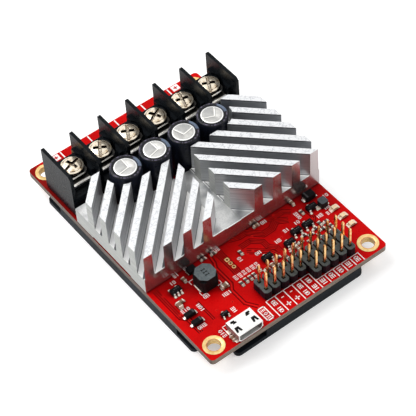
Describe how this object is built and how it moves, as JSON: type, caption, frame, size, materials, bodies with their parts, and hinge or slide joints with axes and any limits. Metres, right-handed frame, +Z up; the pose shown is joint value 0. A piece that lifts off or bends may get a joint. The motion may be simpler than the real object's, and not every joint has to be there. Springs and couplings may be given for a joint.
{
  "type": "dc motor driver module",
  "caption": "Dual-channel motor driver board with a chevron-finned heatsink, screw terminals, pin headers and a data port on a low tray.",
  "frame": {"origin": "centre of the underside of the base tray, at the bottom of the whole box", "axes": "+X along the front edge of the board, +Y from the pin headers to the terminal block, +Z up from the tray"},
  "size_m": [0.052, 0.074, 0.0186],
  "materials": {
    "solder_mask": "glossy red solder mask",
    "tray_black": "satin blue-black moulding",
    "aluminium": "milled and lightly brushed",
    "black_plastic": "satin black moulding",
    "chip_black": "matte moulded black",
    "nickel": "bright warm nickel",
    "tin": "tinned steel",
    "can_sleeve": "dark shrink sleeve",
    "header_black": "matte dark moulding",
    "ferrite": "matte grey ferrite",
    "lens_cream": "glossy cream lens",
    "pad_grey": "matte soft pad"
  },
  "bodies": {
    "root": {"circuit_board": "solder_mask", "base_tray": "tray_black", "heatsink": "aluminium", "thermal_pad": "pad_grey", "power_transistor_1": "chip_black", "power_transistor_2": "chip_black", "power_transistor_3": "chip_black", "power_transistor_4": "chip_black", "power_transistor_5": "chip_black", "power_transistor_6": "chip_black", "power_transistor_7": "chip_black", "power_transistor_8": "chip_black", "controller_chip": "chip_black", "assembly_screw_1": "tin", "assembly_screw_2": "tin", "assembly_screw_3": "tin", "assembly_screw_4": "tin", "capacitor_1": "can_sleeve", "capacitor_2": "can_sleeve", "capacitor_3": "can_sleeve", "capacitor_4": "can_sleeve", "terminal_block": "black_plastic", "terminal_screw_1": "nickel", "terminal_screw_2": "nickel", "terminal_screw_3": "nickel", "terminal_screw_4": "nickel", "terminal_screw_5": "nickel", "terminal_screw_6": "nickel", "terminal_clamp_1": "tin", "terminal_clamp_2": "tin", "terminal_clamp_3": "tin", "terminal_clamp_4": "tin", "terminal_clamp_5": "tin", "terminal_clamp_6": "tin", "terminal_plate_1": "tin", "terminal_plate_2": "tin", "terminal_plate_3": "tin", "terminal_plate_4": "tin", "terminal_plate_5": "tin", "terminal_plate_6": "tin", "header_two_row": "header_black", "header_three_row": "header_black", "data_port_shell": "tin", "data_port_tongue": "black_plastic", "power_inductor": "ferrite", "filter_inductor": "ferrite", "diode_1": "chip_black", "diode_2": "chip_black", "diode_3": "chip_black", "regulator_chip": "chip_black", "logic_chip": "chip_black", "port_chip": "chip_black", "driver_chip": "chip_black", "switch_chip_1": "chip_black", "switch_chip_2": "chip_black", "switch_chip_3": "chip_black", "switch_chip_4": "chip_black", "status_light_1": "lens_cream", "status_light_2": "lens_cream", "status_light_3": "lens_cream"}
  },
  "joints": []
}
